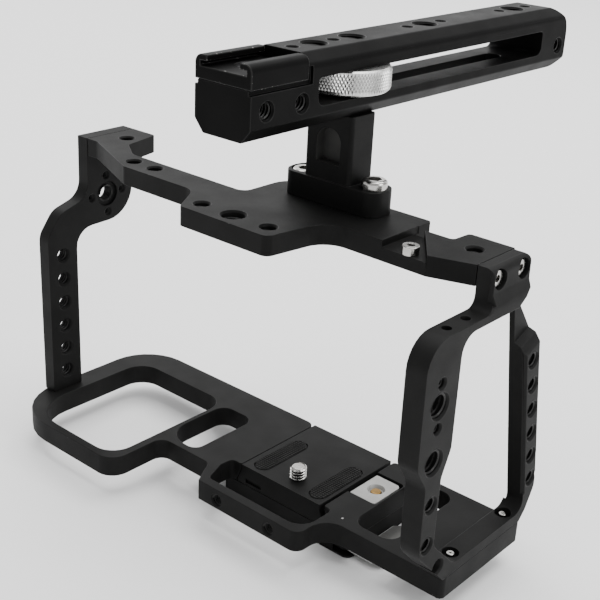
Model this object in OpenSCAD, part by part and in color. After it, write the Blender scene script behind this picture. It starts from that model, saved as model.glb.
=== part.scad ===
// Camera cage for a box-style cinema camera: base with side loop and sliding quick-release plate,
// bolted side pieces, top bar, riser and sliding top handle with an accessory shoe.
// Millimetres. +Z up, lens side towards -Y, +X towards the bracket with the lock, -X towards the side loop.
// Origin: the mouth of the 3/8 inch tripod thread, on the underside.

/* [Frame] */
// From the lens axis to the base's right face
axis_to_right = 73.5; // [60:0.5:90]
// From the base's front face back to the tripod thread
front_to_thread = 25; // [18:0.5:32]

/* [Base] */
// Thickness of the base plate
base_t = 8.2; // [6:0.1:12]
// Depth of the base, front to back
base_d = 47.2; // [40:0.1:60]
// Depth of the quick-release housing under the base
housing_t = 8; // [7:0.1:12]

/* [Camera space] */
// Height from the base's top to the top bar's underside
space_h = 97.7; // [90:0.1:110]
// Width between the left arm and the right bracket
space_w = 180; // [165:0.5:200]

/* [Sides and top] */
// Thickness of the top bar
top_t = 7; // [5:0.1:10]
// Thickness of the left arm
arm_t = 5.9; // [4:0.1:8]
// Thickness of the right bracket
bracket_t = 7.5; // [5:0.1:10]

/* [Handle] */
// Height of the riser under the handle
riser_h = 32; // [20:0.5:60]
// Width of the handle
handle_w = 23; // [18:0.5:30]
// Height of the handle
handle_h = 23.6; // [18:0.1:30]
// Length of the handle
handle_l = 181.5; // [120:0.5:220]
// Radius of the thumbwheel
wheel_r = 15.6; // [13:0.1:18]

/* [Fits] */
// Radial clearance of a turning shaft
run_gap = 0.06; // [0.02:0.01:0.1]
// Radial clearance round a fixed screw or pin
screw_gap = 0.03; // [0.01:0.01:0.1]
// Clearance under a sliding face
slide_gap = 0.1; // [0.05:0.01:0.2]

/* [Threads] */
// Core radius of a 1/4 inch thread
quarter_r = 2.6; // [2.4:0.05:3.2]
// Core radius of a 3/8 inch thread
three_eighth_r = 4; // [3.8:0.05:4.8]
// Outside radius of the camera screw
camera_screw_r = 3.175; // [3:0.025:3.5]

/* [Hidden] */
$fn = 48;
top_z = base_t + space_h + top_t;
bar_z = base_t + space_h;
x_arm = -bracket_t - space_w;
x_loop = x_arm - arm_t;
x_axis = -axis_to_right;
riser_z = top_z + riser_h;
handle_top = riser_z + handle_h;
handle_y = -31.5;
window_z = riser_z + 7;
window_h = 9;
riser_y = 24.7;
riser_foot = 8.7;
qr_left = -94.55;
qr_right = -56.25;
qr_slope = 2.05;
qr_front = 4.5;
camera_screw_y = 12.5;
pivot = [-48.2, 12];
cam_offset = 0.6;
cam_r = 3.15;
neck_r = 2.4;
pin_at = [-48.3, 27.2];
riser_x = x_axis + 0.6;
bolt_pitch = 15;
side_screw_y = [15.8, 29.2];
side_screw_z = top_z - 4.2;
head_x = -1.6;
leg_in = -6.5;
neck_x = -4.4;
neck_z = top_z - 13.3;

// Everything is drawn from the base's front right corner on its underside.
module cage() translate([axis_to_right, -front_to_thread, housing_t]) children();

// Corner points of a polygon, each [x, y, radius].
function unit(v) = v / norm(v);
function turn(p, a, b, r, n = 7) =
  let (u = unit(a - p), w = unit(b - p), h = acos(u * w) / 2, c = p + unit(u + w) * (r / sin(h)),
       s = p + u * (r / tan(h)) - c, e = p + w * (r / tan(h)) - c, d = atan2(cross(s, e), s * e), o = atan2(s[1], s[0]))
  [for (i = [0 : n]) c + r * [cos(o + d * i / n), sin(o + d * i / n)]];
function flat(q) = [q[0], q[1]];
function rounded(v) = let (k = len(v))
  [for (i = [0 : k - 1]) each (v[i][2] > 0 ? turn(flat(v[i]), flat(v[(i + k - 1) % k]), flat(v[(i + 1) % k]), v[i][2]) : [flat(v[i])])];
function box_pts(x0, y0, x1, y1, r) = rounded([[x0, y0, r], [x1, y0, r], [x1, y1, r], [x0, y1, r]]);

module slab(v, z0, z1) translate([0, 0, z0]) linear_extrude(z1 - z0) polygon(v);
// A profile drawn in Y and Z, from x0 to x1.
module side(v, x0, x1) translate([x0, 0, 0]) rotate([90, 0, 90]) linear_extrude(x1 - x0) polygon(v);
// A profile drawn in X and Z, from y0 to y1.
module front(v, y0, y1) translate([0, y1, 0]) rotate([90, 0, 0]) linear_extrude(y1 - y0) polygon(v);
module along(p, v) translate(p) rotate([0, acos(v[2]), atan2(v[1], v[0])]) children();
module bore(p, v, r, l) along(p, v) translate([0, 0, -1]) cylinder(r = r, h = l + 1);
// A threaded hole's core with its countersunk mouth.
module tapped(p, v, r, l) { bore(p, v, r, l); along(p, v) translate([0, 0, -0.1]) cylinder(r1 = r + 0.75, r2 = r, h = 0.75); }
// Socket head screw: head under p, shank along v.
module socket_screw(p, v, r, l, hr, hh, key) along(p, v) difference() {
  union() { cylinder(r = hr, h = hh); cylinder(r = r, h = hh + l); }
  translate([0, 0, -0.1]) cylinder(r = key, h = hh * 0.55 + 0.1, $fn = 6);
}

DOWN = [0, 0, -1];
UP = [0, 0, 1];
LEFT = [-1, 0, 0];
RIGHT = [1, 0, 0];
BACK = [0, 1, 0];

base_edge = [[0, 0, 2.2], [0, base_d, 1], [-54.95, base_d, 1.5], [-54.95, 5.2, 1], [-51.2, 5.2, 2], [-51.2, -10.7, 7],
  [-96.6, -10.7, 2], [-100, -1.2, 3], [-99.6, 4.5, 2], [qr_left - 0.25, 4.5, 1], [qr_left - 0.25, base_d, 3.5],
  [x_loop, base_d, 19], [x_loop, -29.3, 23], [-129.8, -29.3, 7.5], [-129.8, -3.7, 4.5], [-104, -3.7, 3],
  [-101.6, -8.6, 2.5], [-98.3, -14.6, 0.6], [-49.9, -14.6, 4], [-49.9, 0, 8]];
loop_hole = [[x_loop + 10, 34.1, 9], [-133.3, 34.1, 8], [-133.3, -26, 9], [x_loop + 10, -26, 17]];
slot_hole = [[-131.3, -0.6, 11], [-131.3, 31.9, 5], [-114.4, 31.9, 5], [-114.4, -0.6, 4]];
window_hole = [[-41.6, 4.8, 5], [-24.5, 4.8, 5], [-24.5, 43.5, 5], [-41.6, 43.5, 3]];
foot_screws = [[-4.1, 9.6], [-4.1, 42]];
arm_feet = [[x_arm - 3, -6.8], [x_arm - 3, -0.4]];
housing_screw_at = [[-103.5, 17.5], [-103.5, 42.3], [-47.5, 41.6]];

module base_plate() color([0.1, 0.1, 0.1]) cage() difference() {
  slab(rounded(base_edge), 0, base_t);
  slab(rounded(loop_hole), -1, base_t + 1);
  slab(rounded(slot_hole), -1, base_t + 1);
  slab(rounded(window_hole), -1, base_t + 1);
  front([[qr_left - 0.3, 6.45], [qr_left - qr_slope - 0.25, 1], [qr_left - qr_slope - 0.25, -1],
    [qr_right + qr_slope + 1.3, -1], [qr_right + qr_slope + 1.3, 1], [qr_right + 1.35, 6.45]], qr_front, base_d + 1);
  slab(rounded([[-56, 18.9, 0], [-42.3, 18.9, 1], [-42.3, 36.6, 1.5], [-56, 36.6, 0]]), -1, base_t + 1);
  for (x = [-89, -63.8]) tapped([x, -14.6, 3.6], BACK, 2.1, 5);
  for (p = foot_screws) bore([p[0], p[1], base_t], DOWN, 1.5 + screw_gap, 6.5);
  for (p = arm_feet) {
    bore([p[0], p[1], 0], UP, 1.6, 9);
    bore([p[0], p[1], 0], UP, 2.95, 3.1);
  }
  for (p = housing_screw_at) bore([p[0], p[1], 0], UP, 1.5 + screw_gap, 6);
  bore([pivot[0], pivot[1], 0], UP, 1 + screw_gap, 4);
}

housing_edge = [[-103, 4.3, 0.8], [-41.8, 4.3, 3], [-41.8, base_d - 0.4, 2], [-108, base_d - 0.4, 3], [-108, 13, 2], [-103, 13, 1.5]];
cover_edge = [[-55.5, 4.3, 0.5], [-41.8, 4.3, 3], [-41.8, 36.2, 0.5], [-55.5, 36.2, 0.5]];

module qr_housing() color([0.09, 0.09, 0.09]) cage() difference() {
  slab(rounded(housing_edge), -housing_t, 0);
  slab([[-55.6, 3], [-40, 3], [-40, 36.3], [-55.6, 36.3]], -housing_t - 1, -housing_t + 0.95);
  slab(box_pts(-53.6, 5.6, -42.6, 35.6, 0.4), -4.7, 1);
  translate([pivot[0], pivot[1], -housing_t - 1]) cylinder(r = 6.4, h = housing_t - 3.7);
  slab([[-48.2, 18.4], [-40, 18.4], [-40, 3], [-47.6, 3], [-53, 8.5]], -housing_t - 1, -4.7);
  bore([x_axis, camera_screw_y, -housing_t], UP, 5, 9);
  bore([x_axis, front_to_thread, -housing_t], UP, three_eighth_r, 9);
  tapped([x_axis, 37, -housing_t], UP, quarter_r, 9);
  for (p = housing_screw_at) {
    bore([p[0], p[1], -housing_t], UP, 1.6, 9);
    bore([p[0], p[1], -housing_t], UP, 2.95, 2.6);
  }
}

module housing_screws() color([0.6, 0.6, 0.62]) cage()
  for (p = housing_screw_at) socket_screw([p[0], p[1], -housing_t + 0.15], UP, 1.5, 11.2, 2.75, 2.4, 1.3);

module lever_cover() color([0.1, 0.1, 0.1]) cage() difference() {
  slab(rounded(cover_edge), -housing_t, -housing_t + 0.9);
  bore([pivot[0], pivot[1], -housing_t], UP, 1 + screw_gap, 2);
}

module lever_pivot() color([0.6, 0.6, 0.62]) cage() translate([pivot[0], pivot[1], -housing_t + 0.1]) cylinder(r = 1, h = 11.6);

module lock_lever() color([0.62, 0.62, 0.6]) cage() difference() {
  union() {
    slab(rounded([[-48.2, 6.5, 0], [-30, 6.5, 4], [-30, 32.8, 3], [-38, 32.8, 0.5], [-41.3, 29.5, 0.5],
      [-41.3, 16.5, 1.5], [-48.2, 16.5, 0]]), -6.75, -5);
    translate([pivot[0], pivot[1], -6.75]) cylinder(r = 5.5, h = 1.75);
    translate([pivot[0], pivot[1] + cam_offset, -5.5]) cylinder(r = cam_r, h = 4.8);
  }
  bore([pivot[0], pivot[1], -6.75], UP, 1 + run_gap, 8);
}

module lock_block() color([0.75, 0.75, 0.73]) cage() difference() {
  union() {
    intersection() {
      front([[-53.2, -4.4], [-43.7, -4.4], [-43.7, -0.3], [-42.9, 0.2], [-42.9, 8.1], [-54, 8.1], [-54, 4.8], [-55.1, 3.5], [-54.15, 1], [-53.2, 0.2]], 19, 35.1);
      slab(rounded([[-56, 19, 0], [-42.9, 19, 1.2], [-42.9, 35.1, 1.2], [-54, 35.1, 1], [-56, 34.5, 0]]), -5, 9);
    }
    slab([[-53.2, 6.2], [-43.7, 6.2], [-43.7, 20], [-53.2, 20]], -4.4, -0.35);
  }
  for (y = [cam_offset, cam_offset - 0.15]) translate([pivot[0], pivot[1] + y, -5]) cylinder(r = cam_r + run_gap, h = 5.5);
  bore([pin_at[0], pin_at[1], 8.1], DOWN, 2.1 + run_gap, 11.5);
  bore([pin_at[0], pin_at[1], 8.1], DOWN, 2.75, 0.7);
}

module lock_pin() color([0.75, 0.58, 0.3]) cage() translate([pin_at[0], pin_at[1], 1.6]) cylinder(r = 2.1, h = 6.2);

module lock_spring() color([0.6, 0.6, 0.62]) cage() translate([pin_at[0], pin_at[1], -3.35])
  rotate_extrude() polygon(concat([for (i = [0 : 8]) [1.35 + (i % 2) * 0.35, i * 0.61]],
    [for (i = [8 : -1 : 0]) [1.6 + (i % 2) * 0.35, i * 0.61]]));

module qr_plate() color([0.1, 0.1, 0.1]) cage() difference() {
  front([[qr_left, 8.15], [qr_left, 6.4], [qr_left - qr_slope, 1], [qr_left - qr_slope, slide_gap],
    [qr_right + qr_slope, slide_gap], [qr_right + qr_slope, 1], [qr_right, 6.4], [qr_right, 8.15]], qr_front, base_d - 0.3);
  for (x = [-88.5, -61.4]) slab(box_pts(x - 3.6, 6.4, x + 3.6, 33.6, 3.5), 7.45, 9);
  bore([x_axis, camera_screw_y, 0], UP, neck_r + run_gap, 9);
  bore([x_axis, camera_screw_y, 0], UP, 6.7, 3.4);
  slab([[-92.5, 4], [-84.6, 4], [-84.6, 5.4], [-92.5, 5.4]], 1.2, 2.8);
}

module qr_pad(x) color([0.06, 0.06, 0.06]) cage() slab(box_pts(x - 3.4, 6.6, x + 3.4, 33.4, 3.3), 7.45, 8.45);
module qr_pad_left() qr_pad(-88.5);
module qr_pad_right() qr_pad(-61.4);

module qr_screw() color([0.8, 0.8, 0.78]) cage() translate([x_axis, camera_screw_y, 0]) difference() {
  rotate_extrude() polygon([[0, 0.5], [5.9, 0.5], [6.4, 1], [6.4, 3.1], [neck_r, 3.1], [neck_r, 8.45],
    [camera_screw_r, 8.45], [camera_screw_r, 12.7], [camera_screw_r - 0.5, 13.2], [0, 13.2]]);
  translate([-7, -0.9, 0]) cube([14, 1.8, 1.7]);
}

arm_edge = [[9.8, top_z, 0], [9.6, 89, 8], [-4, 85, 8], [-10.7, 76, 8], [-10.7, base_t, 0], [3.4, base_t, 0],
  [3.4, 76.3, 8], [32, 77, 13], [33.5, top_z, 0]];
rosette = [19.3, 88.3];

module left_arm() color([0.1, 0.1, 0.1]) cage() difference() {
  side(rounded(arm_edge), x_loop, x_arm);
  for (i = [0 : 5]) tapped([x_arm, -3.5, 16.2 + i * 10.2], LEFT, quarter_r, 9);
  bore([x_arm, rosette[0], rosette[1]], LEFT, 3.2, 9);
  bore([x_arm, rosette[0], rosette[1]], LEFT, 5.2, 1.2);
  for (a = [0 : 3]) tapped([x_arm, rosette[0] + 7.8 * cos(a * 90 + 3), rosette[1] + 7.8 * sin(a * 90 + 3)], LEFT, 1.25, 9);
  for (y = side_screw_y) {
    bore([x_loop, y, side_screw_z], RIGHT, 1.6, 9);
    bore([x_loop, y, side_screw_z], RIGHT, 3, 2.6);
  }
  for (p = arm_feet) bore([p[0], p[1], base_t], UP, 1.5 + screw_gap, 4.6);
}

module arm_top_screws() color([0.7, 0.7, 0.72]) cage()
  for (y = side_screw_y) socket_screw([x_loop + 0.2, y, side_screw_z], RIGHT, 1.5, 10, 2.75, 2.3, 1.3);

module arm_foot_screws() color([0.6, 0.6, 0.62]) cage()
  for (p = arm_feet) socket_screw([p[0], p[1], 0.4], UP, 1.5, 9.4, 2.75, 2.6, 1.3);

top_edge = [[x_arm, 9.9, 0], [x_arm + 6, 9.9, 5], [x_arm + 37, -3.45, 4], [-114.2, -3.45, 7], [-105, -18.4, 2], [-65.8, -18.4, 3],
  [-62.3, 6.8, 9], [-22.5, 6.3, 4], [-bracket_t, 11.3, 0], [-bracket_t, 32.8, 0], [-24.7, 32.8, 1.5], [-25.2, 24.3, 1.5],
  [-39.6, 24.3, 1], [-39.6, 33.3, 1.5], [-101.6, 33.3, 9], [-101.8, 8.9, 3.5], [x_arm + 27.5, 9.3, 6], [x_arm + 17.1, 16.4, 1.2],
  [x_arm + 13.1, 33.5, 1.5], [x_arm, 33.5, 0]];

module top_bar() color([0.1, 0.1, 0.1]) cage() difference() {
  slab(rounded(top_edge), bar_z, top_z);
  slab([[-39.9, 0], [-39.9, 26], [-37.4, 26], [-22.5, 6.3], [-22.5, 0]], top_z - 2.5, top_z + 1);
  for (p = [[-101.8, -11.3], [-71.6, -11.3], [x_arm + 34.9, 3.4], [x_arm + 46.3, 3.4], [x_arm + 9.4, 22.1], [-15.7, 22.1]])
    tapped([p[0], p[1], top_z], DOWN, quarter_r, 9);
  tapped([-87.2, -11.3, top_z], DOWN, three_eighth_r, 9);
  for (s = [-1, 1]) bore([riser_x + s * bolt_pitch, riser_y, top_z], DOWN, 2.5 + screw_gap, 9);
  bore([-30.6, 9.1, top_z], DOWN, 1.5 + screw_gap, 9);
  for (y = side_screw_y) {
    bore([x_arm, y, side_screw_z], RIGHT, 1.5 + screw_gap, 7.4);
    bore([-bracket_t, y, side_screw_z], LEFT, 1.5 + screw_gap, 7.4);
  }
}

module top_cap_screw() color([0.75, 0.75, 0.76]) cage() socket_screw([-30.6, 9.1, top_z + 0.4], DOWN, 1.5, 4.3, 2.75, 2.9, 1.3);

bracket_edge = [[11.3, top_z, 0], [11.3, neck_z, 3.5], [-22, neck_z, 10], [-21.7, 58.5, 5], [-16.4, 50.5, 5], [-16.1, 25, 9],
  [-0.1, base_t, 0], [47, base_t, 0], [50.5, 12, 5], [54.6, 20, 6], [53.7, 27, 6], [42.6, neck_z - 15.6, 1.5],
  [35.3, neck_z - 6, 2], [33.3, neck_z + 0.2, 1.5], [33, top_z, 2]];
bracket_hole = [[-4.2, neck_z - 2.8, 6.5], [-4.2, 59.5, 5], [-8.1, 50.5, 5], [-8, 25.5, 5], [5.2, 12.2, 5], [48.6, 12.2, 4.5],
  [31, neck_z - 2.8, 1.5]];
leg_hole = [40.8, neck_z - 25.9];

// Bevel of width c along the outer edge from p to q, with the metal on the left of the line.
module edge_bevel(p, q, c) translate([0, p[0], p[1]]) rotate([atan2(p[0] - q[0], q[1] - p[1]), 0, 0])
  linear_extrude(norm(q - p)) polygon([[-c - 0.6, -0.6], [0.6, -0.6], [0.6, c + 0.6]]);

module right_bracket() color([0.1, 0.1, 0.1]) cage() difference() {
  side(rounded(bracket_edge), -bracket_t, 0);
  side(rounded(bracket_hole), -bracket_t - 1, 1);
  side([[27, neck_z - 4.6], [60, neck_z - 4.6], [60, 5], [47.3, 5], [47.3, 14], [36, 55]], -bracket_t - 1, leg_in);
  intersection() {
    side([[24, neck_z - 2.8], [26.5, neck_z - 2.8], [33.5, neck_z + 2.2], [60, neck_z + 2.2], [60, neck_z - 33.6],
      [24, neck_z - 33.6]], neck_x, 1);
    union() {
      along([neck_x, 34.4, neck_z - 19.1], unit([0.36, -0.367, 0.858])) translate([-60, -60, 0]) cube([120, 120, 60]);
      along([-1.7, 42.9, neck_z - 16.6], unit([0.862, -0.214, 0.46])) translate([-60, -60, 0]) cube([120, 120, 60]);
    }
  }
  front(rounded([[0, neck_z, 0], [head_x, neck_z + 4.9, 0], [head_x, top_z, 2.8], [-5, top_z, 0], [-5, top_z + 2, 0],
    [2, top_z + 2, 0], [2, neck_z, 0]]), 5, 40);
  slab([[head_x - 1.3, 11.2], [1, 14.2], [2, 11.2]], neck_z + 1.4, top_z + 2);
  edge_bevel([47.2, 19], [34.9, neck_z - 21.6], 1.1);
  for (z = [84.7, 69.6]) tapped([0, -13.2, z], LEFT, 1.6, 9);
  for (z = [77.2, 58]) tapped([0, -13.2, z], LEFT, three_eighth_r, 9);
  for (p = [[-12.2, 42.5], [-12.1, 27.6], [-4.2, 15.7]]) tapped([0, p[0], p[1]], LEFT, quarter_r, 9);
  for (i = [0 : 5]) tapped([0, leg_hole[0] + i * 2.02, leg_hole[1] - i * 9.86], LEFT, quarter_r, 9);
  for (y = [-8, 1.9]) bore([-4, y, neck_z], DOWN, 1.6, 6);
  for (y = side_screw_y) {
    bore([0, y, side_screw_z], LEFT, 1.6, 9);
    bore([0, y, side_screw_z], LEFT, 3.3, 5.6);
  }
  for (p = foot_screws) {
    bore([p[0], p[1], 12.2], DOWN, 1.6, 5);
    bore([p[0], p[1], 12.2], DOWN, 2.95, 2.4);
  }
}

module bracket_head_screws() color([0.75, 0.75, 0.76]) cage()
  for (y = side_screw_y) socket_screw([head_x - 1.2, y, side_screw_z], LEFT, 1.5, 9, 2.75, 2.8, 1.3);

module bracket_foot_screws() color([0.75, 0.75, 0.76]) cage()
  for (p = foot_screws) socket_screw([p[0], p[1], 12.1], DOWN, 1.5, 8, 2.75, 2.2, 1.3);

module riser() color([0.1, 0.1, 0.1]) cage() difference() {
  union() {
    slab(box_pts(riser_x - 20, 18.2, riser_x + 20, 31.2, 5), top_z, top_z + riser_foot);
    slab(box_pts(x_axis - 10, 18.7, x_axis + 9.6, 31.2, 1.5), top_z, riser_z - 0.05);
  }
  front(rounded([[x_axis - 5.1, 127.6, 0.8], [x_axis + 5.1, 127.6, 0.8], [x_axis + 5.1, 139.6, 4.6], [x_axis - 5.1, 139.6, 4.6]]), 17, 22.7);
  for (s = [-1, 1]) bore([riser_x + s * bolt_pitch, riser_y, top_z + riser_foot], DOWN, 2.75, 9);
  bore([riser_x - bolt_pitch, riser_y, top_z + riser_foot], DOWN, 4.75, 3.9);
  bore([x_axis, riser_y, riser_z], DOWN, 3 + screw_gap, 4.3);
}

module riser_bolts() color([0.78, 0.78, 0.78]) cage() {
  socket_screw([riser_x - bolt_pitch, riser_y, top_z + riser_foot], DOWN, 2.5, 11, 4.4, 3.9, 2);
  socket_screw([riser_x + bolt_pitch, riser_y, top_z + riser_foot + 3.2], DOWN, 2.5, 15, 4.4, 3.2, 2);
}

module riser_stud() color([0.7, 0.7, 0.7]) cage() translate([x_axis, riser_y, riser_z - 4.2]) cylinder(r = 3, h = 19.4);

module clamp_washer() color([0.7, 0.7, 0.7]) cage() translate([x_axis, riser_y, window_z + 0.05]) difference() {
  cylinder(r = 7.5, h = 0.5);
  translate([0, 0, -1]) cylinder(r = 3 + screw_gap, h = 3);
}

module thumbwheel() color([0.85, 0.85, 0.84]) cage() translate([x_axis, riser_y, window_z + 0.6]) difference() {
  rotate_extrude($fn = 96) polygon([[3 + run_gap, 0], [wheel_r - 0.6, 0], [wheel_r, 0.6], [wheel_r, 7.4], [wheel_r - 0.6, 8], [3 + run_gap, 8]]);
}

hw = handle_w / 2;
handle_end = handle_y + handle_l;
grip_side = rounded([[handle_y, riser_z - 0.1, 0], [handle_end, riser_z - 0.1, 6], [handle_end, handle_top + 0.1, 10], [handle_y, handle_top + 0.1, 0]]);
shoe_z = riser_z + 16;
shoe_end = -6.4;
shoe_screw_y = -18.6;
top_holes = [[-1.5, 1], [8.6, 2], [18, 1], [27.5, 2], [57.8, 1], [67.8, 2], [77.6, 1], [116.3, 1], [125.5, 2], [135, 1]];

// Cross-section of the handle: chamfered below, with sloping shoulders above.
grip = rounded([[x_axis - hw + 3.6, riser_z, 1.2], [x_axis + hw - 3.6, riser_z, 1.2], [x_axis + hw, riser_z + 4.2, 1.2],
  [x_axis + hw, handle_top - 3.4, 3], [x_axis + hw - 4, handle_top, 1.5],
  [x_axis - hw + 4, handle_top, 1.5], [x_axis - hw, handle_top - 3.4, 3], [x_axis - hw, riser_z + 4.2, 1.2]]);

module handle_body() color([0.1, 0.1, 0.1]) cage() difference() {
  intersection() {
    front(grip, handle_y, handle_end);
    side(grip_side, x_axis - hw - 1, x_axis + hw + 1);
  }
  slab([[-110, -40], [-50, -40], [-50, shoe_end + 0.3], [-110, shoe_end + 0.3]], shoe_z - 0.05, handle_top + 1);
  for (s = [-1, 1]) translate([x_axis + s * hw, 0, 0]) {
    side([[-40, shoe_z - 1.5], [-4.5, shoe_z - 1.5], [-4.5, shoe_z + 4], [shoe_end, shoe_z + 4], [shoe_end, shoe_z], [-40, shoe_z]], -1.2, 1.2);
  }
  side(rounded([[-1.5, window_z, 3], [131.5, window_z, 3], [131.5, window_z + window_h, 1.5], [-1.5, window_z + window_h, 1.5]]), -110, -40);
  slab(box_pts(x_axis - 3.4, 11, x_axis + 3.4, 118, 3.3), riser_z - 1, window_z + 1);
  for (h = top_holes) tapped([x_axis, h[0], handle_top], DOWN, h[1] == 2 ? three_eighth_r : 1.6, 9);
  for (s = [-1, 1]) for (p = [-24.6, -8.9, 144.3]) tapped([x_axis + s * hw, p, riser_z + 9.2], [-s, 0, 0], quarter_r, 8);
  bore([x_axis, shoe_screw_y, shoe_z], DOWN, 2.5 + screw_gap, 9);
}

module cold_shoe() color([0.1, 0.1, 0.1]) cage() difference() {
  intersection() {
    front(box_pts(x_axis - hw, riser_z, x_axis + hw, handle_top - 0.2, 2.6), handle_y, shoe_end);
    slab([[-110, -40], [-50, -40], [-50, 0], [-110, 0]], shoe_z, handle_top - 0.2);
  }
  front([[x_axis - 9.35, shoe_z + 4], [x_axis + 9.35, shoe_z + 4], [x_axis + 9.35, handle_top - 2.1], [x_axis + 6.6, handle_top - 2.1],
    [x_axis + 6.6, handle_top + 1], [x_axis - 6.6, handle_top + 1], [x_axis - 6.6, handle_top - 2.1],
    [x_axis - 9.35, handle_top - 2.1]], handle_y - 1, shoe_end + 1);
  translate([x_axis, shoe_screw_y, shoe_z - 1]) cylinder(r = 2.7, h = 9);
  translate([x_axis, shoe_screw_y, shoe_z + 1.2]) cylinder(r1 = 2.7, r2 = 5.6, h = 2.9);
}

module cold_shoe_screw() color([0.12, 0.12, 0.12]) cage() translate([x_axis, shoe_screw_y, shoe_z]) difference() {
  rotate_extrude() polygon([[0, -7.5], [2.5, -7.5], [2.5, 1.25], [5.35, 3.95], [0, 3.95]]);
  translate([0, 0, 1.6]) cylinder(r = 1.75, h = 3, $fn = 6);
}

base_plate();
qr_housing();
housing_screws();
lever_cover();
qr_plate();
qr_pad_left();
qr_pad_right();
qr_screw();
lock_block();
lock_pin();
lock_spring();
lock_lever();
lever_pivot();
left_arm();
arm_top_screws();
arm_foot_screws();
top_bar();
top_cap_screw();
right_bracket();
bracket_head_screws();
bracket_foot_screws();
riser();
riser_bolts();
riser_stud();
clamp_washer();
thumbwheel();
handle_body();
cold_shoe();
cold_shoe_screw();
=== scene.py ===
import math

import bpy
from mathutils import Matrix, Quaternion, Vector


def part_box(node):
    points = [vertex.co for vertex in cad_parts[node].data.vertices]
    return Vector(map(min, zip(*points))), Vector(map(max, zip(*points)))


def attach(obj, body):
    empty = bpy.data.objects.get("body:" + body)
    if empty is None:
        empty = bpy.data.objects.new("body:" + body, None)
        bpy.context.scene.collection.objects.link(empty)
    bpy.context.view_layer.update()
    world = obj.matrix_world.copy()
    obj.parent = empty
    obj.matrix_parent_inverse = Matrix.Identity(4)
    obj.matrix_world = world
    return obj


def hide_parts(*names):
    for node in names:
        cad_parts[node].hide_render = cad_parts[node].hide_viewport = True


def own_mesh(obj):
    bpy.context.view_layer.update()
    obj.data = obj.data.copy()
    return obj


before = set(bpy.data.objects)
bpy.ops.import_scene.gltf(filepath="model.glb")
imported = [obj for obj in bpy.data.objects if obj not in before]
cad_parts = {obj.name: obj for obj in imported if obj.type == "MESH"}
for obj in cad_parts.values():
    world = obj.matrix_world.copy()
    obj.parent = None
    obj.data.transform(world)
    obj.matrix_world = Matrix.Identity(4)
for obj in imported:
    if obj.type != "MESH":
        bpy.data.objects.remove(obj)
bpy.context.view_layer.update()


# ---------------------------------------------------------------- table, lamps and camera
# The cage stands on a pale table in soft studio light: a broad lamp overhead, one beyond the lock side, a
# weaker one beyond the loop side, and a bright screen behind, which the flat tops catch at a low angle.

def deselect_all():
    if bpy.context.object and bpy.context.object.mode != "OBJECT":
        bpy.ops.object.mode_set(mode="OBJECT")
    bpy.ops.object.select_all(action="DESELECT")


def only(piece):
    deselect_all()
    piece.select_set(True)
    bpy.context.view_layer.objects.active = piece
    return piece


def settle(piece):
    """Puts the place of a finished piece into its mesh."""
    only(piece)
    bpy.ops.object.transform_apply(location=True, rotation=True, scale=True)
    return piece


def soft_lamp(name, place, aim, size, watts):
    lamp = bpy.data.lights.new(name, "AREA")
    lamp.shape = "RECTANGLE"
    lamp.size, lamp.size_y = size
    lamp.energy = watts
    held = bpy.data.objects.new(name, lamp)
    bpy.context.scene.collection.objects.link(held)
    held.location = place
    held.rotation_euler = (Vector(aim) - Vector(place)).to_track_quat("-Z", "Y").to_euler()


deselect_all()
bpy.ops.mesh.primitive_plane_add(size=6.0, location=(0, 0.6, 0))
table = settle(bpy.context.object)
table.name = "pale_table"
table_paint = bpy.data.materials.new("table_paint")
table_paint.use_nodes = True
table_shader = table_paint.node_tree.nodes["Principled BSDF"]
table_shader.inputs["Base Color"].default_value = (0.9, 0.9, 0.9, 1)
table_shader.inputs["Roughness"].default_value = 0.95
table_shader.inputs["Specular IOR Level"].default_value = 0.05
table.data.materials.append(table_paint)

air = bpy.data.worlds.new("studio_air")
bpy.context.scene.world = air
air.use_nodes = True
air.node_tree.nodes["Background"].inputs["Color"].default_value = (1, 1, 1, 1)
air.node_tree.nodes["Background"].inputs["Strength"].default_value = 0.8
cage_middle = (-0.02, 0.0, 0.08)
soft_lamp("overhead_lamp", (-0.1, 0.35, 1.5), cage_middle, (1.6, 1.6), 36)
soft_lamp("lock_side_lamp", (1.5, 0.2, 0.7), cage_middle, (0.9, 1.1), 15)
soft_lamp("back_screen", (-0.5, 1.6, 0.6), cage_middle, (2.2, 1.2), 9.3)
soft_lamp("loop_side_lamp", (-1.5, 0.5, 0.8), cage_middle, (0.9, 0.9), 8)

lens = bpy.data.cameras.new("front_camera")
lens.lens = 68.135
lens.sensor_width = 36
front_camera = bpy.data.objects.new("front_camera", lens)
bpy.context.scene.collection.objects.link(front_camera)
front_camera.location = (0.22882, -0.28919, 0.24356)
front_camera.rotation_mode = "QUATERNION"
front_camera.rotation_quaternion = Quaternion((0.777942, 0.520180, 0.174290, 0.306338))
bpy.context.scene.camera = front_camera


# ---------------------------------------------------------------- base plate
# Milled from aluminium plate with the hand loop, the slots and the front bumper in one piece. It is bead
# blasted, its edges are broken and it is anodised black, thinner and smoother over the broken edges.

MM = 0.001
MERGE_DISTANCE = 0.002 * MM


def at(x, y, z):
    """A place in mm from the base's front right corner on its underside, as the drawings give it."""
    return Vector(((x + 73.5) * MM, (y - 25) * MM, (z + 8) * MM))


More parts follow.
